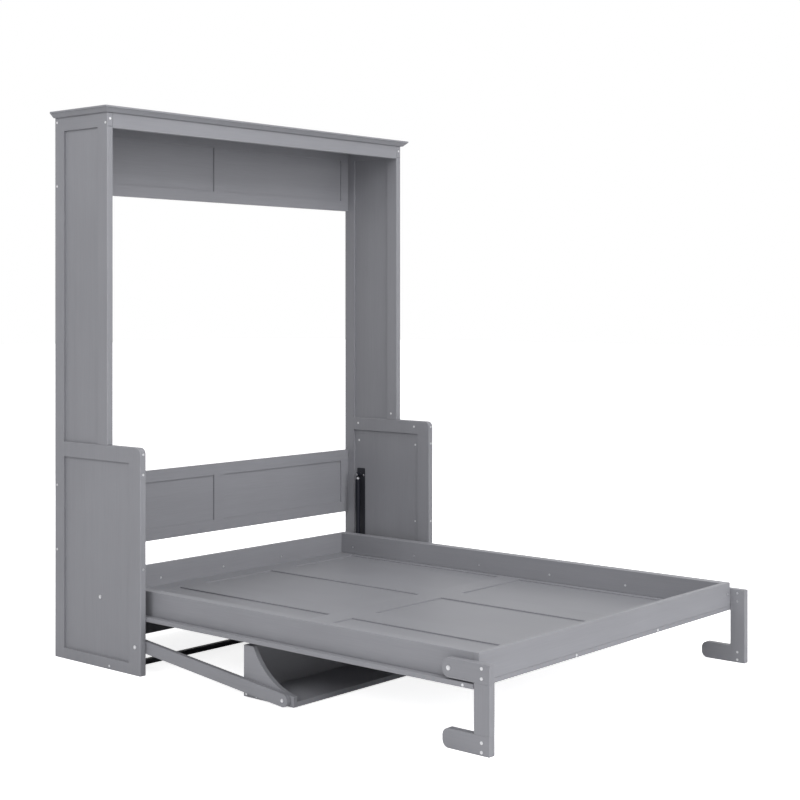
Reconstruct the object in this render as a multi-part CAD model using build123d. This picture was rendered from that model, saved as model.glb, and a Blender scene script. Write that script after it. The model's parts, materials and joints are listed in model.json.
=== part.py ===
from build123d import *
import math
import os

# Wall bed: a cabinet that stands against a wall, a bed that folds down out of it about one
# pivot, two swing-out legs at its foot, and a shelf desk under it that stays level.
# X runs across the bed, +Y towards the wall, +Z up. The origin is on the floor, at the centre
# of the footprint. "Depth" always means the distance from the wall plane into the room.

# ---- overall ---------------------------------------------------------------------------
OVERALL_DEPTH = 2179.3
WALL_Y = OVERALL_DEPTH / 2
SMALL = 0.01

# ---- cabinet ---------------------------------------------------------------------------
INNER_HALF = 850.0
SIDE_THICK = 28.0
OUTER_HALF = INNER_HALF + SIDE_THICK
SIDE_HEIGHT = 2174.0
SIDE_DEPTH = 331.0
ARM_DEPTH = 530.0
ARM_HEIGHT = 872.0
ARM_CORNER = 24.0
BACK_STILE = 57.0
FRONT_STILE = 60.0
ARM_STILE = 69.0
TOP_RAIL_BOTTOM = 2119.0
ARM_PANEL_LOW = 43.0
ARM_PANEL_HIGH = 812.0
OUTER_RECESS = 10.0
INNER_RECESS = 10.0
CROWN_OVERHANG = 28.0
CROWN_DEPTH = 358.0
CROWN_THICK = 24.0
CROWN_NOSE = 8.0
CROWN_QUIRK = 4.0
CROWN_SLANT = 15.0
FASCIA_BOTTOM = 2114.0
FASCIA_THICK = 22.0
BACK_THICK = 18.0
BACK_RECESS = 6.0
TOP_PANEL_BOTTOM = 1876.0
TOP_PANEL_RAIL = 48.0
HEADBOARD_LOW = 411.0
HEADBOARD_HIGH = 711.0
BACK_RAIL = 50.0
BACK_MULLION = 60.0
REAR_RAIL_LOW = 20.0
REAR_RAIL_HIGH = 118.0
REAR_RAIL_FRONT = 26.0
REAR_RAIL_THICK = 22.0
TIE_DEPTH = 391.0
TIE_SIZE = 20.0
TIE_LOW = 3.0
TIE_WALL = 1.5
TIE_PLATE_BACK = 334.0
TIE_PLATE_THICK = 1.5
WALL_HOLE_X = 600.0
WALL_HOLE_Z = 2158.0
WALL_HOLE_R = 3.0

# ---- bed -------------------------------------------------------------------------------
WELL_HALF = 774.5
WELL_HEAD = 45.0
WELL_LENGTH = 2050.0
WELL_FOOT = WELL_HEAD + WELL_LENGTH
RAIL_HALF = 816.0
BED_HEAD = 25.0
BED_FOOT = 2116.0
DOOR_HALF = 848.0
DOOR_HEAD = 32.0
DOOR_BOTTOM = 205.0
DOOR_THICK = 16.0
DOOR_TOP = DOOR_BOTTOM + DOOR_THICK
DOOR_RECESS = 5.0
RAIL_TOP = 315.0
STILE_INNER = 742.0
MULLION_INNER = 202.0
MULLION_OUTER = 337.0
HEAD_RAIL_END = 143.0
MID_RAIL_START = 1016.0
MID_RAIL_END = 1131.0
FOOT_RAIL_START = 2004.0

# ---- pivots (depth, height) ------------------------------------------------------------
BED_PIVOT = (277.0, 273.0)
LINK_PIVOT = (500.0, 108.5)
DESK_LINK_PIVOT = (1266.0, 27.0)
DESK_HINGE = (
    BED_PIVOT[0] + DESK_LINK_PIVOT[0] - LINK_PIVOT[0],
    BED_PIVOT[1] + DESK_LINK_PIVOT[1] - LINK_PIVOT[1],
)
LEG_PIVOT = (2014.0, 258.0)
STRUT_TOP = (95.0, 595.0)
STRUT_FOOT = (95.0, 248.0)
RUNNING = 0.05

# ---- legs ------------------------------------------------------------------------------
LEG_INNER = RAIL_HALF + 0.4
LEG_THICK = 28.0
LEG_OUTER = LEG_INNER + LEG_THICK
LEG_FRONT = OVERALL_DEPTH
LEG_BACK = BED_FOOT + 0.4
LEG_HALF_ARM = 32.0
LEG_ARM_BACK = 1988.0
LEG_END_R = 25.0
LEG_EASE = 1.0
LEG_TOP = LEG_PIVOT[1] + LEG_HALF_ARM
LEG_FOOT_HEIGHT = 64.0
LEG_FOOT_BACK = 1988.0

# ---- desk, links and struts --------------------------------------------------------------
DESK_OUTER = 829.0
DESK_BOARD = 18.0
DESK_BACK = 1050.0
DESK_FRONT = 1303.0
DESK_LOW = 4.0
DESK_TOP = 190.0
DESK_TOP_FRONT = 1099.0
DESK_LIP = 42.0
DESK_SWEEP = 31.0
LINK_OUTER = 848.0
LINK_THICK = 18.0
LINK_HEIGHT = 47.0
HINGE_XS = (-600.0, 0.0, 600.0)
HINGE_R = 5.5
HINGE_PIN_R = 3.0
STRUT_X = 836.0
STRUT_R = 12.0
STRUT_ROD_R = 5.0
STRUT_EYE_R = 11.0
STRUT_TUBE = 275.0
STRUT_NECK = 22.0
STRUT_ROD = 290.0

# ---- fasteners ---------------------------------------------------------------------------
SCREW_R = 2.5
SCREW_HEAD_R = 5.0
SCREW_HEAD = 1.0
SCREW_LENGTH = 42.0
PIVOT_R = 6.0
PIVOT_HEAD_R = 7.5
PIVOT_HEAD = 3.0
LEG_PIVOT_HEAD_R = 8.0
LINK_BOLT_R = 5.0
LEG_BOLT_R = 3.0
EASE = 1.5
FRONT_EASE = 3.0


def y_at(depth):
    """The Y of a point a given distance in front of the wall."""
    return WALL_Y - depth


def block(x0, x1, d0, d1, z0, z1):
    """A plain box between two X, two depths and two heights."""
    place = Pos((x0 + x1) / 2, y_at((d0 + d1) / 2), (z0 + z1) / 2)
    return place * Box(x1 - x0, d1 - d0, z1 - z0)


def board(x0, x1, d0, d1, z0, z1, eased="", radius=EASE):
    """A box with the edges of the named faces rounded: l r (X), b f (wall, room), d u (Z)."""
    solid = block(x0, x1, d0, d1, z0, z1)
    planes = {
        "l": ("X", x0), "r": ("X", x1),
        "b": ("Y", y_at(d0)), "f": ("Y", y_at(d1)),
        "d": ("Z", z0), "u": ("Z", z1),
    }
    wanted = [planes[key] for key in eased]
    edges = [
        edge for edge in solid.edges()
        if any(abs(getattr(edge.center(), axis) - value) < SMALL for axis, value in wanted)
    ]
    return fillet(edges, radius) if edges else solid


def bar_x(x0, x1, at, radius):
    """A round bar along X, at a (depth, height)."""
    place = Pos((x0 + x1) / 2, y_at(at[0]), at[1]) * Rot(0, 90, 0)
    return place * Cylinder(radius, x1 - x0)


def bar_y(x, d0, d1, z, radius):
    """A round bar along Y."""
    return Pos(x, y_at((d0 + d1) / 2), z) * Rot(90, 0, 0) * Cylinder(radius, d1 - d0)


def side_plate(x_high, thick, profile):
    """A plate of one (depth, height) profile, whose +X face is at x_high."""
    plane = Plane(origin=(x_high, WALL_Y, 0), x_dir=(0, -1, 0), z_dir=(-1, 0, 0))
    return extrude(plane * profile, amount=thick)


def rectangle(d0, d1, z0, z1):
    """A rectangle of a side profile."""
    return Pos((d0 + d1) / 2, (z0 + z1) / 2) * Rectangle(d1 - d0, z1 - z0)


def mirrored(shape):
    """The left-hand copy of a right-hand part."""
    return mirror(shape, about=Plane.YZ)


def group(shapes):
    """Separate solids that share one node."""
    return Compound(children=[solid for shape in shapes for solid in shape.solids()])


def without(shape, tools):
    """What is left of the shape, in one piece, once every tool is cut out of it."""
    for tool in tools:
        shape = shape - tool
    return max(shape.solids(), key=lambda solid: solid.volume)


# ---- fasteners -------------------------------------------------------------------------

def screw_x(x_face, side, at, length=SCREW_LENGTH, proud=SCREW_HEAD):
    """A screw driven along X into a face; side is the way its head looks, +1 or -1."""
    top = x_face + side * proud
    under = top - side * SCREW_HEAD
    end = under - side * length
    head = bar_x(min(top, under), max(top, under), at, SCREW_HEAD_R)
    shank = bar_x(min(under, end), max(under, end), at, SCREW_R)
    socket = bar_x(min(top, top - side * 0.6), max(top, top - side * 0.6), at, SCREW_R * 0.7)
    return head + shank - socket


def screw_y(x, depth, z, side=1, length=SCREW_LENGTH, proud=SCREW_HEAD):
    """A screw driven along Y into a face; side is +1 when its head looks into the room."""
    top = depth + side * proud
    under = top - side * SCREW_HEAD
    end = under - side * length
    head = bar_y(x, min(top, under), max(top, under), z, SCREW_HEAD_R)
    shank = bar_y(x, min(under, end), max(under, end), z, SCREW_R)
    socket = bar_y(x, min(top, top - side * 0.6), max(top, top - side * 0.6), z, SCREW_R * 0.7)
    return head + shank - socket


def side_screws():
    """The right side's screws: into the back panels and the fascia, and on its front edges."""
    outer = [(13, 2155), (13, 1898), (13, 694), (13, 434), (320, 2134), (344, 13)]
    screws = [screw_x(OUTER_HALF, 1, at) for at in outer[:-1]]
    screws.append(screw_x(OUTER_HALF, 1, outer[-1], length=SIDE_THICK + TIE_PLATE_THICK))
    inner = [(84, 845), (439, 845), (295, 900)]
    screws += [screw_x(INNER_HALF, -1, at, length=18, proud=0) for at in inner]
    recessed = [(82, 761), (439, 759), (438, 399)]
    face = INNER_HALF + INNER_RECESS
    screws += [screw_x(face, -1, at, length=6, proud=0) for at in recessed]
    middle = INNER_HALF + SIDE_THICK / 2
    screws.append(screw_y(middle, SIDE_DEPTH, 2150))
    screws += [screw_y(middle, ARM_DEPTH, z) for z in (847, 770, 407)]
    return screws


def pivot_bolt(at, radius, inner_x, face_x):
    """A bolt through the cabinet side whose shank carries a moving part."""
    head = bar_x(face_x, face_x + PIVOT_HEAD, at, PIVOT_HEAD_R)
    shank = bar_x(inner_x, face_x, at, radius)
    socket = bar_x(face_x + PIVOT_HEAD - 1.5, face_x + PIVOT_HEAD, at, radius * 0.6)
    return head + shank - socket


def cabinet_pivots():
    """The right side's two pivot bolts, with a spacer sleeve on the bed's."""
    bed = pivot_bolt(BED_PIVOT, PIVOT_R, RAIL_HALF - 30, OUTER_HALF - OUTER_RECESS)
    sleeve = bar_x(RAIL_HALF + 3.5, INNER_HALF + INNER_RECESS, BED_PIVOT, 13)
    link = pivot_bolt(LINK_PIVOT, LINK_BOLT_R, LINK_OUTER - LINK_THICK - 6, OUTER_HALF)
    nut_high = LINK_OUTER - LINK_THICK - 0.5
    nut = bar_x(nut_high - 4, nut_high, LINK_PIVOT, 8.5)
    return [bed + sleeve, link + nut]


# ---- cabinet ---------------------------------------------------------------------------

def side_parts():
    """The right side: two stiles, a top rail and a thin panel above, the arm board below."""
    tools = side_screws() + cabinet_pivots()
    back_stile = block(INNER_HALF, OUTER_HALF, 0, BACK_STILE, 0, SIDE_HEIGHT)
    stile_back = SIDE_DEPTH - FRONT_STILE
    front_stile = board(
        INNER_HALF, OUTER_HALF, stile_back, SIDE_DEPTH, ARM_HEIGHT, TOP_RAIL_BOTTOM,
        "f", FRONT_EASE,
    )
    top_rail = board(
        INNER_HALF, OUTER_HALF, BACK_STILE, SIDE_DEPTH, TOP_RAIL_BOTTOM, SIDE_HEIGHT,
        "f", FRONT_EASE,
    )
    panel = block(
        INNER_HALF + INNER_RECESS, OUTER_HALF - OUTER_RECESS,
        BACK_STILE, stile_back, ARM_HEIGHT, TOP_RAIL_BOTTOM,
    )
    return {
        "side_back_stile": without(back_stile, tools),
        "side_front_stile": without(front_stile, tools),
        "side_top_rail": without(top_rail, tools),
        "side_upper_panel": panel,
        "side_arm_panel": without(arm_board(), tools),
    }


def arm_board():
    """The arm: a board with a rounded top front corner and a shallow recess in each face."""
    outline = rectangle(BACK_STILE, ARM_DEPTH, 0, ARM_HEIGHT)
    corner = outline.vertices().sort_by(Axis.X)[-2:].sort_by(Axis.Y)[-1]
    outline = fillet(corner, ARM_CORNER)
    arm = side_plate(OUTER_HALF, SIDE_THICK, outline)
    front = [edge for edge in arm.edges() if edge.center().Y < y_at(ARM_DEPTH - ARM_CORNER / 2)]
    length_wise = [edge for edge in front if abs(edge.center().X) > INNER_HALF + SIDE_THICK - 1
                   or abs(edge.center().X) < INNER_HALF + 1]
    arm = fillet(length_wise, FRONT_EASE)
    recess_end = ARM_DEPTH - ARM_STILE
    recesses = (
        (INNER_HALF, INNER_HALF + INNER_RECESS),
        (OUTER_HALF - OUTER_RECESS, OUTER_HALF),
    )
    for x0, x1 in recesses:
        arm = arm - block(x0, x1, BACK_STILE, recess_end, ARM_PANEL_LOW, ARM_PANEL_HIGH)
    return arm


def crown():
    """The crown board: a thin nosing over a slanted lower edge, flush at the wall."""
    half = OUTER_HALF + CROWN_OVERHANG
    bottom = SIDE_HEIGHT
    top = bottom + CROWN_THICK
    nose = board(-half, half, 0, CROWN_DEPTH, top - CROWN_NOSE, top, "lrf", 2.0)
    low_half = half - CROWN_QUIRK
    low_depth = CROWN_DEPTH - CROWN_QUIRK
    lower = block(-low_half, low_half, 0, low_depth, bottom, top - CROWN_NOSE)
    under = [
        edge for edge in lower.edges()
        if abs(edge.center().Z - bottom) < SMALL and edge.center().Y < WALL_Y - SMALL
    ]
    return chamfer(under, CROWN_SLANT) + nose


def recessed_back(z0, z1, low_rail, high_rail):
    """A back panel with two shallow recesses in its front face, one each side of a mullion."""
    panel = block(-INNER_HALF, INNER_HALF, 0, BACK_THICK, z0, z1)
    for side in (-1, 1):
        x_near = side * BACK_MULLION / 2
        x_far = side * (INNER_HALF - BACK_RAIL)
        panel = panel - block(
            min(x_near, x_far), max(x_near, x_far), BACK_THICK - BACK_RECESS, BACK_THICK,
            z0 + low_rail, z1 - high_rail,
        )
    return panel


def back_top_panel():
    """The upper back panel, with two holes high up that take the screws into the wall."""
    panel = recessed_back(
        TOP_PANEL_BOTTOM, SIDE_HEIGHT, TOP_PANEL_RAIL, SIDE_HEIGHT - TOP_RAIL_BOTTOM
    )
    holes = [bar_y(x, -1, BACK_THICK + 1, WALL_HOLE_Z, WALL_HOLE_R)
             for x in (-WALL_HOLE_X, WALL_HOLE_X)]
    return without(panel, holes)


def steel_tie_bar():
    """A square steel tube between the sides, with a flat steel foot at each end."""
    z1 = TIE_LOW + TIE_SIZE
    d0 = TIE_DEPTH - TIE_SIZE / 2
    d1 = TIE_DEPTH + TIE_SIZE / 2
    end = INNER_HALF - TIE_PLATE_THICK
    tube = board(-end, end, d0, d1, TIE_LOW, z1)
    hollow = block(-end, end, d0 + TIE_WALL, d1 - TIE_WALL, TIE_LOW + TIE_WALL, z1 - TIE_WALL)
    foot = block(end, INNER_HALF, TIE_PLATE_BACK, d1 + 5, TIE_LOW, z1)
    foot = without(foot, side_screws())
    return group([tube - hollow, foot, mirrored(foot)])


def strut_mounts():
    """The steel plate on each side's inner face, with the pin that holds the strut's top."""
    profile = rectangle(72, 121, 285, 626)
    profile = fillet(profile.vertices(), 6)
    face = INNER_HALF + INNER_RECESS
    plate = side_plate(face, 3.0, profile)
    pin = bar_x(STRUT_X - 10.5, face - 3, STRUT_TOP, STRUT_ROD_R)
    cap = bar_x(STRUT_X - 10.5, STRUT_X - 6.5, STRUT_TOP, 8.5)
    shoulder = bar_x(STRUT_X + 6.5, face - 3, STRUT_TOP, 8.5)
    right = [plate, pin + cap + shoulder]
    return group(right + [mirrored(item) for item in right])


# ---- bed -------------------------------------------------------------------------------

def bed_screws():
    """Screws in the rails' inner faces, the foot rail's ends and the door's edges."""
    screws = []
    for depth in (119, 502.5, 886, 1269.5, 1653, 2036.5):
        for side in (-1, 1):
            screws.append(screw_x(side * WELL_HALF, -side, (depth, 253), length=24, proud=0.6))
    for x in (-362, 0, 362):
        screws.append(screw_y(x, WELL_HEAD, 253, 1, length=15, proud=0.6))
        screws.append(screw_y(x, WELL_FOOT, 253, -1, length=15, proud=0.6))
    for side in (-1, 1):
        screws.append(screw_y(side * 796, BED_FOOT, 270))
        screws.append(screw_y(side * 267, BED_FOOT, DOOR_BOTTOM + DOOR_THICK / 2, length=60))
        for depth in (74, 2074):
            at = (depth, DOOR_BOTTOM + DOOR_THICK / 2)
            screws.append(screw_x(side * DOOR_HALF, side, at, proud=0))
    return screws


def hinge_plate_screws():
    """Countersunk screws that hold the right hinge plate to the rail."""
    places = [(150, 240), (215, 240), (320, 240), (215, 296), (320, 296)]
    return [screw_x(RAIL_HALF + 3, 1, at, length=28, proud=0) for at in places]


def door_frame_parts():
    """The door: the boards of its frame, whose cross rail and mullions are half-lapped."""
    low, high = DOOR_BOTTOM, DOOR_TOP
    middle = (low + high) / 2
    parts = {}
    for name, side in (("left", -1), ("right", 1)):
        x0, x1 = sorted((side * STILE_INNER, side * DOOR_HALF))
        outer = "l" if side < 0 else "r"
        parts[f"door_{name}_stile"] = board(
            x0, x1, DOOR_HEAD, BED_FOOT, low, high, outer + "f"
        )
        m0, m1 = sorted((side * MULLION_INNER, side * MULLION_OUTER))
        mullion = block(m0, m1, HEAD_RAIL_END, FOOT_RAIL_START, low, high)
        lap = block(m0, m1, MID_RAIL_START, MID_RAIL_END, middle, high)
        parts[f"door_{name}_mullion"] = mullion - lap
    cross = block(-STILE_INNER, STILE_INNER, MID_RAIL_START, MID_RAIL_END, low, high)
    for side in (-1, 1):
        m0, m1 = sorted((side * MULLION_INNER, side * MULLION_OUTER))
        cross = cross - block(m0, m1, MID_RAIL_START, MID_RAIL_END, low, middle)
    parts["door_cross_rail"] = cross
    parts["door_head_rail"] = block(-STILE_INNER, STILE_INNER, DOOR_HEAD, HEAD_RAIL_END, low, high)
    parts["door_foot_rail"] = board(
        -STILE_INNER, STILE_INNER, FOOT_RAIL_START, BED_FOOT, low, high, "flr", 1.0
    )
    return parts


def door_panels():
    """The six thin panels that fill the door's frame, recessed on both faces."""
    columns = {
        "left": (-STILE_INNER, -MULLION_OUTER),
        "middle": (-MULLION_INNER, MULLION_INNER),
        "right": (MULLION_OUTER, STILE_INNER),
    }
    rows = {"head": (HEAD_RAIL_END, MID_RAIL_START), "foot": (MID_RAIL_END, FOOT_RAIL_START)}
    z0 = DOOR_BOTTOM + DOOR_RECESS
    z1 = DOOR_TOP - DOOR_RECESS
    return {
        f"door_{row}_{column}_panel": block(*xs, *ds, z0, z1)
        for row, ds in rows.items() for column, xs in columns.items()
    }


def bed_rails():
    """The four rails that stand on the door and hold the mattress."""
    side = board(WELL_HALF, RAIL_HALF, WELL_HEAD, WELL_FOOT, DOOR_TOP, RAIL_TOP, "ud", 2.0)
    bores = [
        bar_x(WELL_HALF + 8, RAIL_HALF, BED_PIVOT, PIVOT_R + RUNNING),
        bar_x(WELL_HALF + 8, RAIL_HALF, LEG_PIVOT, PIVOT_R + RUNNING),
    ]
    side = without(side, bores)
    head = board(-RAIL_HALF, RAIL_HALF, BED_HEAD, WELL_HEAD, DOOR_TOP, RAIL_TOP, "u", 2.0)
    under = block(-RAIL_HALF, RAIL_HALF, BED_HEAD, DOOR_HEAD, DOOR_TOP - 1, DOOR_TOP)
    foot = board(-RAIL_HALF, RAIL_HALF, WELL_FOOT, BED_FOOT, DOOR_TOP, RAIL_TOP, "udlr", 2.0)
    return {
        "bed_right_rail": side,
        "bed_left_rail": mirrored(side),
        "bed_head_rail": head - under,
        "bed_foot_rail": foot,
    }


def bed_hinge_plates():
    """The steel plate on each side rail that the bed pivots and is lifted by."""
    outline = Polyline(
        (72, 226), (338, 226), (338, 310), (235, 310), (118, 274), (72, 274), close=True
    )
    profile = make_face(outline)
    profile = fillet(profile.vertices(), 8)
    plate = side_plate(RAIL_HALF + 3, 3.0, profile)
    plate = plate - bar_x(RAIL_HALF - 1, RAIL_HALF + 4, BED_PIVOT, PIVOT_R + RUNNING)
    plate = plate - bar_x(RAIL_HALF - 1, RAIL_HALF + 4, STRUT_FOOT, STRUT_ROD_R + 0.5)
    plate = without(plate, hinge_plate_screws())
    return group([plate, mirrored(plate)])


def desk_hinge_brackets():
    """The door's half of each desk hinge: a plate under the door, two lugs and the pin."""
    depth, height = DESK_HINGE
    brackets = []
    for x in HINGE_XS:
        base = block(x - 30, x + 30, depth - 38, depth + 8, DOOR_BOTTOM - 2.5, DOOR_BOTTOM)
        bracket = base + bar_x(x - 30, x + 30, DESK_HINGE, HINGE_PIN_R)
        for x0 in (x - 30, x + 16):
            lug = block(x0, x0 + 14, depth - HINGE_R, depth + HINGE_R, height, DOOR_BOTTOM - 2)
            bracket = bracket + lug + bar_x(x0, x0 + 14, DESK_HINGE, HINGE_R)
        brackets.append(bracket)
    return group(brackets)


# ---- legs ------------------------------------------------------------------------------

def leg_bolts():
    """The right leg's pivot bolt and the four bolts through its half-lapped corners."""
    middle = (LEG_BACK + LEG_FRONT) / 2
    bolts = []
    for z in (11, 41, 243, 275):
        at = (middle, z)
        shank = bar_x(LEG_INNER + 2, LEG_OUTER, at, LEG_BOLT_R)
        inner_head = bar_x(LEG_INNER, LEG_INNER + 2, at, SCREW_HEAD_R)
        outer_head = bar_x(LEG_OUTER, LEG_OUTER + 1.2, at, SCREW_HEAD_R + 0.5)
        socket = bar_x(LEG_OUTER + 0.4, LEG_OUTER + 1.2, at, 2.0)
        bolts.append(shank + inner_head + outer_head - socket)
    head = bar_x(LEG_OUTER, LEG_OUTER + 2.4, LEG_PIVOT, LEG_PIVOT_HEAD_R)
    shank = bar_x(RAIL_HALF - 30, LEG_OUTER, LEG_PIVOT, PIVOT_R)
    socket = bar_x(LEG_OUTER + 1.0, LEG_OUTER + 2.4, LEG_PIVOT, 3.5)
    bolts.append(head + shank - socket)
    return bolts


def leg_bar(back, low, high):
    """A level bar of the right leg, round-cornered at the back and halved at the front."""
    outline = rectangle(back, LEG_FRONT, low, high)
    outline = fillet(outline.vertices().sort_by(Axis.X)[:2], LEG_END_R)
    middle = LEG_INNER + LEG_THICK / 2
    bar = side_plate(LEG_OUTER, LEG_THICK, outline)
    bar = bar - block(LEG_INNER, middle, LEG_BACK, LEG_FRONT, low, high)
    return chamfer(bar.edges(), LEG_EASE)


def leg_parts():
    """The right leg: pivot arm, upright and foot bar, half-lapped at both corners."""
    bolts = leg_bolts()
    middle = LEG_INNER + LEG_THICK / 2
    arm_low = LEG_PIVOT[1] - LEG_HALF_ARM
    upright = block(LEG_INNER, LEG_OUTER, LEG_BACK, LEG_FRONT, 0, LEG_TOP)
    for z0, z1 in ((0, LEG_FOOT_HEIGHT), (arm_low, LEG_TOP)):
        upright = upright - block(middle, LEG_OUTER, LEG_BACK, LEG_FRONT, z0, z1)
    upright = chamfer(upright.edges(), LEG_EASE)
    return {
        "leg_arm": without(leg_bar(LEG_ARM_BACK, arm_low, LEG_TOP), bolts),
        "leg_upright": without(upright, bolts),
        "leg_foot": without(leg_bar(LEG_FOOT_BACK, 0, LEG_FOOT_HEIGHT), bolts),
        "leg_bolts": group(bolts),
    }


# ---- desk, links and struts --------------------------------------------------------------

def desk_side_profile():
    """The side's outline: narrow at the top, its front sweeping out to a low lip."""
    run = DESK_FRONT - DESK_TOP_FRONT
    fall = DESK_TOP - DESK_LIP
    slope = math.hypot(run, fall)
    bulge = (
        DESK_TOP_FRONT + run / 2 - DESK_SWEEP * fall / slope,
        DESK_LIP + fall / 2 - DESK_SWEEP * run / slope,
    )
    edge = Polyline(
        (DESK_FRONT, DESK_LIP), (DESK_FRONT, DESK_LOW), (DESK_BACK, DESK_LOW),
        (DESK_BACK, DESK_TOP), (DESK_TOP_FRONT, DESK_TOP),
    )
    sweep = ThreePointArc((DESK_TOP_FRONT, DESK_TOP), bulge, (DESK_FRONT, DESK_LIP))
    return make_face([*edge.edges(), *sweep.edges()])


def desk_link_bolt():
    """The right bolt that joins the desk's side to its link."""
    inner = DESK_OUTER - DESK_BOARD
    head = bar_x(LINK_OUTER + 0.4, LINK_OUTER + 3.4, DESK_LINK_PIVOT, PIVOT_HEAD_R - 1)
    shank = bar_x(inner + 1, LINK_OUTER + 0.4, DESK_LINK_PIVOT, LINK_BOLT_R)
    socket = bar_x(LINK_OUTER + 2, LINK_OUTER + 3.4, DESK_LINK_PIVOT, 3.0)
    return head + shank - socket


def desk_side_screws():
    """Screws through the right desk side into the bottom and back boards."""
    places = [(1062, 13), (1115, 13)]
    return [screw_x(DESK_OUTER, 1, at, proud=0.2) for at in places]


def desk_parts():
    """The desk: bottom board, back board and two swept sides, with its hinge leaves."""
    inner = DESK_OUTER - DESK_BOARD
    board_top = DESK_LOW + DESK_BOARD
    back_front = DESK_BACK + DESK_BOARD
    fixings = desk_side_screws() + [desk_link_bolt()]
    both = fixings + [mirrored(item) for item in fixings]
    side = without(side_plate(DESK_OUTER, DESK_BOARD, desk_side_profile()), fixings)
    bottom = board(-inner, inner, DESK_BACK, DESK_FRONT, DESK_LOW, board_top)
    back = block(-inner, inner, DESK_BACK, back_front, board_top, DESK_TOP)
    leaves = [
        block(x - 15, x + 15, DESK_BACK - 2, DESK_BACK, DESK_TOP - 46, DESK_TOP + 1.5)
        + bar_x(x - 15, x + 15, DESK_HINGE, HINGE_R)
        - bar_x(x - 16, x + 16, DESK_HINGE, HINGE_PIN_R + RUNNING)
        for x in HINGE_XS
    ]
    return {
        "desk_right_side": side,
        "desk_left_side": mirrored(side),
        "desk_bottom": without(bottom, both),
        "desk_back": without(back, both),
        "desk_hinge_leaves": group(leaves),
        "desk_bolts": group(both),
    }


def link_arm():
    """The right link: a flat bar with round ends, bored at both."""
    run = DESK_LINK_PIVOT[0] - LINK_PIVOT[0]
    rise = DESK_LINK_PIVOT[1] - LINK_PIVOT[1]
    length = math.hypot(run, rise)
    middle = (LINK_PIVOT[0] + run / 2, LINK_PIVOT[1] + rise / 2)
    turn = math.degrees(math.atan2(rise, run))
    slot = Pos(*middle) * Rot(0, 0, turn) * SlotCenterToCenter(length, LINK_HEIGHT)
    link = side_plate(LINK_OUTER, LINK_THICK, slot)
    inner = LINK_OUTER - LINK_THICK
    for at in (LINK_PIVOT, DESK_LINK_PIVOT):
        link = link - bar_x(inner - 1, LINK_OUTER + 1, at, LINK_BOLT_R + RUNNING)
    return link


def strut_cylinder():
    """The right gas strut's cylinder, with its top eye and a bore for the rod."""
    x, (depth, z) = STRUT_X, STRUT_TOP
    y = y_at(depth)
    top = z - STRUT_NECK
    tube = Pos(x, y, top - STRUT_TUBE / 2) * Cylinder(STRUT_R, STRUT_TUBE)
    tube = chamfer(tube.edges(), 2)
    tube = tube - Pos(x, y, top - STRUT_TUBE / 2 - 6) * Cylinder(STRUT_ROD_R + RUNNING, STRUT_TUBE)
    neck = Pos(x, y, (z + top) / 2 - 2) * Cylinder(5.5, STRUT_NECK - 2)
    eye = bar_x(x - 6, x + 6, STRUT_TOP, STRUT_EYE_R)
    return (tube + neck + eye) - bar_x(x - 7, x + 7, STRUT_TOP, STRUT_ROD_R + RUNNING)


def strut_rod():
    """The right gas strut's rod, with its end eye and the stud that faces the bed's plate."""
    x, (depth, z) = STRUT_X, STRUT_FOOT
    y = y_at(depth)
    rod = Pos(x, y, z + STRUT_ROD / 2) * Cylinder(STRUT_ROD_R, STRUT_ROD)
    eye = bar_x(x - 6, x + 6, STRUT_FOOT, STRUT_EYE_R)
    collar = Pos(x, y, z + 15) * Cylinder(7, 12)
    stud = bar_x(RAIL_HALF + 3.5, x, STRUT_FOOT, STRUT_ROD_R)
    return rod + eye + collar + stud


# ---- the whole bed -----------------------------------------------------------------------

def both_sides(parts):
    """Right-hand parts and their left-hand copies, named for their sides."""
    named = {}
    for name, shape in parts.items():
        named[f"right_{name}"] = shape
        named[f"left_{name}"] = mirrored(shape)
    return named


def cabinet_parts():
    """Everything that stands still against the wall."""
    screws = side_screws()
    screws += [mirrored(screw) for screw in screws]
    pivots = cabinet_pivots()
    pivots += [mirrored(pivot) for pivot in pivots]
    fascia = board(
        -INNER_HALF, INNER_HALF, SIDE_DEPTH - FASCIA_THICK, SIDE_DEPTH,
        FASCIA_BOTTOM, SIDE_HEIGHT, "flr",
    )
    headboard = recessed_back(HEADBOARD_LOW, HEADBOARD_HIGH, BACK_RAIL, BACK_RAIL)
    rear = block(
        -INNER_HALF, INNER_HALF, REAR_RAIL_FRONT - REAR_RAIL_THICK, REAR_RAIL_FRONT,
        REAR_RAIL_LOW, REAR_RAIL_HIGH,
    )
    parts = both_sides(side_parts())
    parts["crown_board"] = crown()
    parts["crown_fascia"] = without(fascia, screws)
    parts["back_top_panel"] = without(back_top_panel(), screws)
    parts["headboard_panel"] = without(headboard, screws)
    parts["rear_bottom_rail"] = rear
    parts["steel_tie_bar"] = steel_tie_bar()
    parts["strut_mounts"] = strut_mounts()
    parts["cabinet_screws"] = group(screws)
    parts["cabinet_pivot_bolts"] = group(pivots)
    return parts


def bed_parts():
    """Everything that folds with the bed."""
    screws = bed_screws()
    plate_screws = hinge_plate_screws()
    screws += plate_screws + [mirrored(screw) for screw in plate_screws]
    boards = {**door_frame_parts(), **bed_rails()}
    parts = {name: without(shape, screws) for name, shape in boards.items()}
    parts.update(door_panels())
    parts["bed_hinge_plates"] = bed_hinge_plates()
    parts["desk_hinge_brackets"] = desk_hinge_brackets()
    parts["bed_screws"] = group(screws)
    return parts


def all_parts():
    """Every node of the model, by name."""
    parts = {**cabinet_parts(), **bed_parts()}
    parts.update(both_sides(leg_parts()))
    parts.update(desk_parts())
    pairs = {"desk_link": link_arm(), "strut_cylinder": strut_cylinder(), "strut_rod": strut_rod()}
    parts.update(both_sides(pairs))
    return parts


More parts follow.
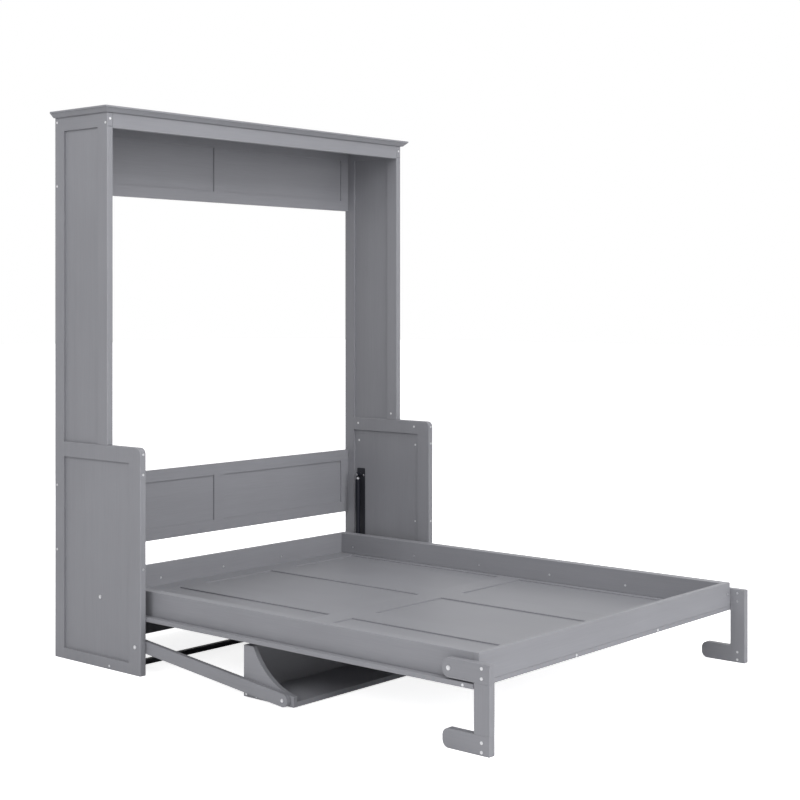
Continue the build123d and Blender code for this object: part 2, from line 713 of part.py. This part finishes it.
os.makedirs("parts", exist_ok=True)
for node, shape in all_parts().items():
    export_step(shape, f"parts/{node}.step")
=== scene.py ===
import json
import math

import bmesh
import bpy
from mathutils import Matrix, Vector


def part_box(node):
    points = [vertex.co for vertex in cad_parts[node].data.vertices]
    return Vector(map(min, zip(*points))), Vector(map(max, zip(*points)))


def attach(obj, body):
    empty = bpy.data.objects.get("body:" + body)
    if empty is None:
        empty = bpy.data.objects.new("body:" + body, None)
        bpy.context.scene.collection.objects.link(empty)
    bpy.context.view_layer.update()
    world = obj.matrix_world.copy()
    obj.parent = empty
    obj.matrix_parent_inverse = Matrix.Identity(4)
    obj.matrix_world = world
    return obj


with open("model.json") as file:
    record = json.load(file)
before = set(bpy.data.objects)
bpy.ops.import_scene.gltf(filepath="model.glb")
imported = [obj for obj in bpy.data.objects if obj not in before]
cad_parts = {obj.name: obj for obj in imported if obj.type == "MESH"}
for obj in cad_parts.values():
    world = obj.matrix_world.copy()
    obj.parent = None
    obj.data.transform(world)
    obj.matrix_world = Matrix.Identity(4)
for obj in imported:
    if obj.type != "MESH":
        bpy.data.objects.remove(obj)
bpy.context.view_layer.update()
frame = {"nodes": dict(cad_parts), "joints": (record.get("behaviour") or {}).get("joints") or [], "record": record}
nodes = frame["nodes"]

# ---- stage -----------------------------------------------------------------------------

CAMERA_PLACE = (-4.6854, -4.0216, 1.4288)
CAMERA_YAW = -49.401
CAMERA_LENS = 69.19
CAMERA_SENSOR = 36.0
CAMERA_SHIFT = (-0.0029, -0.1216)
CAMERA_REACH = 60.0

WHITE = (1, 1, 1, 1)
FLOOR_HALF = 40.0
FLOOR_DROP = 0.0005
FLOOR_COLOUR = (0.92, 0.92, 0.925, 1)
FLOOR_ROUGHNESS = 0.8
# The camera sees the floor glow: least within GLOW_START of the origin, fully from GLOW_END on.
GLOW_START = 0.8
GLOW_END = 4.0
GLOW_LEAST = 0.84
GLOW_FULL = 1.0
# The white world lights the object at one strength, and is seen and reflected at another.
WORLD_LIGHT = 0.236
WORLD_SEEN = 1.0


def make_camera():
    """A camera at the photograph's place, looking level across the bed from its left foot."""
    data = bpy.data.cameras.new("camera")
    data.lens = CAMERA_LENS
    data.sensor_width = CAMERA_SENSOR
    data.shift_x, data.shift_y = CAMERA_SHIFT
    data.clip_end = CAMERA_REACH
    camera = bpy.data.objects.new("camera", data)
    camera.location = CAMERA_PLACE
    camera.rotation_euler = (math.radians(90.0), 0.0, math.radians(CAMERA_YAW))
    bpy.context.scene.collection.objects.link(camera)
    bpy.context.scene.camera = camera


def make_floor():
    """A white floor whose glow, for the camera alone, makes it a plain white away from the bed."""
    mesh = bpy.data.meshes.new("floor")
    signs = [(-1, -1), (1, -1), (1, 1), (-1, 1)]
    corners = [(x * FLOOR_HALF, y * FLOOR_HALF, -FLOOR_DROP) for x, y in signs]
    mesh.from_pydata(corners, [], [(0, 1, 2, 3)])
    floor = bpy.data.objects.new("floor", mesh)
    bpy.context.scene.collection.objects.link(floor)

    made = Nodes("floor_white")
    made.shader.inputs["Base Color"].default_value = FLOOR_COLOUR
    made.shader.inputs["Roughness"].default_value = FLOOR_ROUGHNESS
    made.shader.inputs["Emission Color"].default_value = WHITE
    where = made.add("ShaderNodeTexCoord")
    reach = made.add("ShaderNodeVectorMath", operation="LENGTH")
    made.join(where.outputs["Object"], reach.inputs[0])
    fade = made.add("ShaderNodeMapRange", interpolation_type="SMOOTHSTEP")
    made.set(fade, "From Min", GLOW_START)
    made.set(fade, "From Max", GLOW_END)
    made.set(fade, "To Min", GLOW_LEAST)
    made.set(fade, "To Max", GLOW_FULL)
    made.join(reach.outputs["Value"], fade.inputs["Value"])
    ray = made.add("ShaderNodeLightPath")
    shown = made.add("ShaderNodeMath", operation="MULTIPLY")
    made.join(fade.outputs["Result"], shown.inputs[0])
    made.join(ray.outputs["Is Camera Ray"], shown.inputs[1])
    made.join(shown.outputs[0], made.shader.inputs["Emission Strength"])
    mesh.materials.append(made.material)


def make_world():
    """An even white world, dimmer as a light than it is to the camera and in reflections."""
    world = bpy.data.worlds.new("studio")
    world.use_nodes = True
    tree = world.node_tree
    ambient = tree.nodes["Background"]
    ambient.inputs["Color"].default_value = WHITE
    ambient.inputs["Strength"].default_value = WORLD_LIGHT
    seen = tree.nodes.new("ShaderNodeBackground")
    seen.inputs["Color"].default_value = WHITE
    seen.inputs["Strength"].default_value = WORLD_SEEN
    ray = tree.nodes.new("ShaderNodeLightPath")
    either = tree.nodes.new("ShaderNodeMath")
    either.operation = "MAXIMUM"
    both = tree.nodes.new("ShaderNodeMixShader")
    tree.links.new(ray.outputs["Is Camera Ray"], either.inputs[0])
    tree.links.new(ray.outputs["Is Glossy Ray"], either.inputs[1])
    tree.links.new(either.outputs[0], both.inputs[0])
    tree.links.new(ambient.outputs[0], both.inputs[1])
    tree.links.new(seen.outputs[0], both.inputs[2])
    tree.links.new(both.outputs[0], tree.nodes["World Output"].inputs["Surface"])
    bpy.context.scene.world = world
    bpy.context.scene.view_settings.view_transform = "Standard"


def area_light(name, place, target, width, height, power):
    """A soft rectangular studio light that faces a point."""
    data = bpy.data.lights.new(name, "AREA")
    data.shape = "RECTANGLE"
    data.size = width
    data.size_y = height
    data.energy = power
    light = bpy.data.objects.new(name, data)
    light.location = place
    direction = Vector(target) - Vector(place)
    light.rotation_euler = direction.to_track_quat("-Z", "Y").to_euler()
    bpy.context.scene.collection.objects.link(light)


def make_lights():
    """Soft lights from the left, the front and above, and two weak ones for the rear and right."""
    area_light("left_high", (-6.0, 0.2, 4.2), (0.0, 0.3, 1.4), 2.5, 2.5, 126)
    area_light("left_front", (-4.5, -5.0, 4.5), (0.0, 0.0, 0.8), 2.5, 2.5, 128)
    area_light("left_near", (-4.2, -1.2, 1.5), (-0.8, -0.6, 0.3), 1.5, 1.5, 8)
    area_light("front", (0.2, -7.5, 2.6), (0.0, 0.0, 0.9), 1.8, 2.5, 146)
    area_light("right_front", (4.5, -6.0, 3.0), (0.0, 0.0, 0.9), 3.0, 3.0, 14)
    area_light("top", (0.0, -0.6, 5.5), (0.0, -0.4, 0.3), 4.0, 4.0, 44)
    area_light("top_front", (0.0, -4.5, 5.5), (0.0, 0.0, 0.4), 3.0, 3.0, 134)
    area_light("back", (0.8, 6.5, 1.4), (0.0, 1.0, 1.1), 3.0, 2.0, 60)
    area_light("right", (7.0, 0.9, 1.8), (0.9, 0.3, 1.0), 2.0, 2.0, 45)


# ---- materials -------------------------------------------------------------------------

# A noise texture's values mostly lie between these two.
NOISE_LOW = 0.3
NOISE_HIGH = 0.7

GREY = (0.262, 0.264, 0.286)
PAINT_SPREAD = 0.10
PAINT_TONES = (0.30, 0.72)
PAINT_ROUGHNESS = (0.46, 0.60)
PAINT_GLOSS = 0.35
GRAIN_STRETCH = 0.03
GRAIN_SCALE = 260.0
BAND_SCALE = 18.0
BAND_SHARE = 0.45
CLOUD_SCALE = 2.2
CLOUD_SHARE = 0.35
GRAIN_BUMP = 0.12
GRAIN_DEPTH = 0.0004
SEED_STEP = (1.7, 0.9, 2.3)

METAL_SPREAD = 0.15
METAL_BUMP = 0.15
METAL_DEPTH = 0.0002
GLOSS = 0.5
ENAMEL_GLOSS = 0.32
# Each metal slot's material name, colour, roughness, metallic share, speckle scale and gloss.
METALS = {
    "black_steel": ("powder_black", (0.018, 0.019, 0.025), 0.50, 0.0, 900.0, GLOSS),
    "bolt_steel": ("zinc_steel", (0.74, 0.74, 0.76), 0.34, 1.0, 700.0, GLOSS),
    "strut_black": ("strut_enamel", (0.005, 0.006, 0.012), 0.42, 0.0, 400.0, ENAMEL_GLOSS),
    "rod_chrome": ("hard_chrome", (0.62, 0.63, 0.65), 0.14, 1.0, 500.0, GLOSS),
}
TURNED_ZINC = ("zinc_turned", (0.30, 0.30, 0.32), 0.38, 1.0, 700.0, GLOSS)


class Nodes:
    """A new material and short ways to add nodes to it and join them."""

    def __init__(self, name):
        self.material = bpy.data.materials.new(name)
        self.material.use_nodes = True
        self.tree = self.material.node_tree
        self.shader = self.tree.nodes["Principled BSDF"]

    def add(self, kind, **settings):
        """A new node with its own settings."""
        node = self.tree.nodes.new(kind)
        for key, value in settings.items():
            setattr(node, key, value)
        return node

    def set(self, node, socket, value):
        """Sets one of a node's input sockets, by name or number."""
        node.inputs[socket].default_value = value

    def join(self, out, into):
        """A link from one socket to another."""
        self.tree.links.new(out, into)

    def noise(self, vector, scale, detail, roughness=0.5):
        """A noise texture's value."""
        node = self.add("ShaderNodeTexNoise")
        self.set(node, "Scale", scale)
        self.set(node, "Detail", detail)
        self.set(node, "Roughness", roughness)
        self.join(vector, node.inputs["Vector"])
        return node.outputs["Fac"]

    def mixed(self, first, second, share):
        """Two values mixed, with this share of the second."""
        node = self.add("ShaderNodeMix", data_type="FLOAT")
        self.set(node, 0, share)
        self.join(first, node.inputs[2])
        self.join(second, node.inputs[3])
        return node.outputs[0]

    def colour(self, value, colour, spread, tones=(NOISE_LOW, NOISE_HIGH)):
        """The base colour, darker and lighter by a spread as a value runs between two tones."""
        node = self.add("ShaderNodeValToRGB")
        dark, light = node.color_ramp.elements
        dark.position, light.position = tones
        dark.color = (*(channel * (1 - spread) for channel in colour), 1)
        light.color = (*(min(1.0, channel * (1 + spread)) for channel in colour), 1)
        self.join(value, node.inputs["Fac"])
        self.join(node.outputs["Color"], self.shader.inputs["Base Color"])

    def roughness(self, value, low, high):
        """Roughness between two limits, following a noise value."""
        node = self.add("ShaderNodeMapRange")
        self.set(node, "From Min", NOISE_LOW)
        self.set(node, "From Max", NOISE_HIGH)
        self.set(node, "To Min", low)
        self.set(node, "To Max", high)
        self.join(value, node.inputs["Value"])
        self.join(node.outputs["Result"], self.shader.inputs["Roughness"])

    def bump(self, height, strength, depth):
        """A fine relief, with its depth in metres."""
        node = self.add("ShaderNodeBump")
        self.set(node, "Strength", strength)
        self.set(node, "Distance", depth)
        self.join(height, node.inputs["Height"])
        self.join(node.outputs["Normal"], self.shader.inputs["Normal"])


def painted_board(name, colour, along, seed):
    """Matt grey paint over fine-grained wood whose grain runs along one axis."""
    made = Nodes(name)
    where = made.add("ShaderNodeTexCoord")
    place = made.add("ShaderNodeMapping")
    made.set(place, "Location", [seed * step for step in SEED_STEP])
    made.join(where.outputs["Object"], place.inputs["Vector"])
    drawn_out = made.add("ShaderNodeMapping")
    made.set(drawn_out, "Scale", [GRAIN_STRETCH if axis == along else 1.0 for axis in "XYZ"])
    made.join(place.outputs["Vector"], drawn_out.inputs["Vector"])

    grain = made.noise(drawn_out.outputs["Vector"], GRAIN_SCALE, detail=4.0, roughness=0.6)
    bands = made.noise(drawn_out.outputs["Vector"], BAND_SCALE, detail=3.0)
    clouds = made.noise(place.outputs["Vector"], CLOUD_SCALE, detail=2.0)
    banded = made.mixed(grain, bands, BAND_SHARE)
    made.colour(made.mixed(banded, clouds, CLOUD_SHARE), colour, PAINT_SPREAD, PAINT_TONES)
    made.roughness(banded, *PAINT_ROUGHNESS)
    made.bump(grain, GRAIN_BUMP, GRAIN_DEPTH)
    made.set(made.shader, "Specular IOR Level", PAINT_GLOSS)
    return made.material


def coated_steel(name, colour, roughness, metallic, scale, gloss):
    """Coated or bare metal with a fine uneven surface."""
    made = Nodes(name)
    where = made.add("ShaderNodeTexCoord")
    speckle = made.noise(where.outputs["Object"], scale, detail=3.0)
    made.colour(speckle, colour, METAL_SPREAD)
    made.roughness(speckle, roughness * (1 - METAL_SPREAD), roughness * (1 + METAL_SPREAD))
    made.bump(speckle, METAL_BUMP, METAL_DEPTH)
    made.set(made.shader, "Metallic", metallic)
    made.set(made.shader, "Specular IOR Level", gloss)
    return made.material


def long_axis(node):
    """The letter of the axis that a node is longest along."""
    low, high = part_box(node)
    size = high - low
    return "XYZ"[max(range(3), key=lambda index: size[index])]


def dress_nodes():
    """Every CAD node gets its material: paint with its own grain, or one of the metals."""
    metals = {slot: coated_steel(*values) for slot, values in METALS.items()}
    slots = {part["node"]: part["material_slot"] for part in frame["record"]["subparts"]}
    for seed, (name, piece) in enumerate(sorted(nodes.items())):
        slot = slots[name]
        if slot in metals:
            material = metals[slot]
        else:
            material = painted_board(f"paint_{name}", GREY, long_axis(name), seed)
        piece.data.materials.clear()
        piece.data.materials.append(material)


# ---- turned metal details ----------------------------------------------------------------

# Each profile is a list of (radius, height above its seat), in metres.
NUT = [(0.0078, 0.0), (0.0078, 0.0012), (0.0070, 0.0022), (0.0048, 0.0030), (0.0020, 0.0033)]
COLLAR = [(0.0095, 0.0), (0.0095, 0.0025), (0.0078, 0.0050), (0.0065, 0.0095), (0.0062, 0.0105)]
SCREW_HEAD = [(0.0052, 0.0), (0.0052, 0.0006), (0.0046, 0.0015), (0.0032, 0.0022), (0.0016, 0.0024)]
AROUND = 40
# From a strut's pin: inwards to the pin's end, and down to the shoulder of its tube.
PIN_REACH = 0.0105
TUBE_DROP = 0.022
PLATE_THICK = 0.003
# Each plate screw, as (further from the wall than the pin, lower than the pin).
PLATE_SCREWS = [(0.017, 0.003), (0.017, 0.298), (-0.015, 0.298)]


def turned(name, profile, place, axis, material, body):
    """A round piece turned about an axis from a profile of (radius, height) points."""
    mesh = bpy.data.meshes.new(name)
    work = bmesh.new()
    turns = [2 * math.pi * step / AROUND for step in range(AROUND)]
    rings = [
        [work.verts.new((radius * math.cos(turn), radius * math.sin(turn), height)) for turn in turns]
        for radius, height in profile
    ]
    for lower, upper in zip(rings, rings[1:]):
        for step in range(AROUND):
            after = (step + 1) % AROUND
            work.faces.new((lower[step], lower[after], upper[after], upper[step]))
    work.faces.new(list(reversed(rings[0])))
    work.faces.new(rings[-1])
    work.to_mesh(mesh)
    work.free()
    for face in mesh.polygons:
        face.use_smooth = len(face.vertices) == 4
    mesh.materials.append(material)
    piece = bpy.data.objects.new(name, mesh)
    piece.location = place
    piece.rotation_euler = Vector(axis).to_track_quat("Z", "Y").to_euler()
    bpy.context.scene.collection.objects.link(piece)
    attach(piece, body)


def strut_hardware(zinc):
    """Zinc parts at each strut's top: the pin's domed nut, the tube's collar, plate screws."""
    pins = {joint["name"]: joint.get("pos_m") for joint in frame["joints"]}
    plate_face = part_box("strut_mounts")[1].x - PLATE_THICK
    for name, side in (("left", -1), ("right", 1)):
        x, y, z = pins[f"{name}_strut_tilt"]
        inward = (-side, 0, 0)
        pin_end = (x - side * PIN_REACH, y, z)
        turned(f"{name}_strut_nut", NUT, pin_end, inward, zinc, "cabinet")
        shoulder = (x, y, z - TUBE_DROP)
        turned(f"{name}_strut_collar", COLLAR, shoulder, (0, 0, 1), zinc, f"{name}_cylinder")
        for index, (forward, down) in enumerate(PLATE_SCREWS):
            seat = (side * plate_face, y - forward, z - down)
            turned(f"{name}_plate_screw_{index}", SCREW_HEAD, seat, inward, zinc, "cabinet")


make_camera()
make_floor()
make_world()
make_lights()
dress_nodes()
strut_hardware(coated_steel(*TURNED_ZINC))
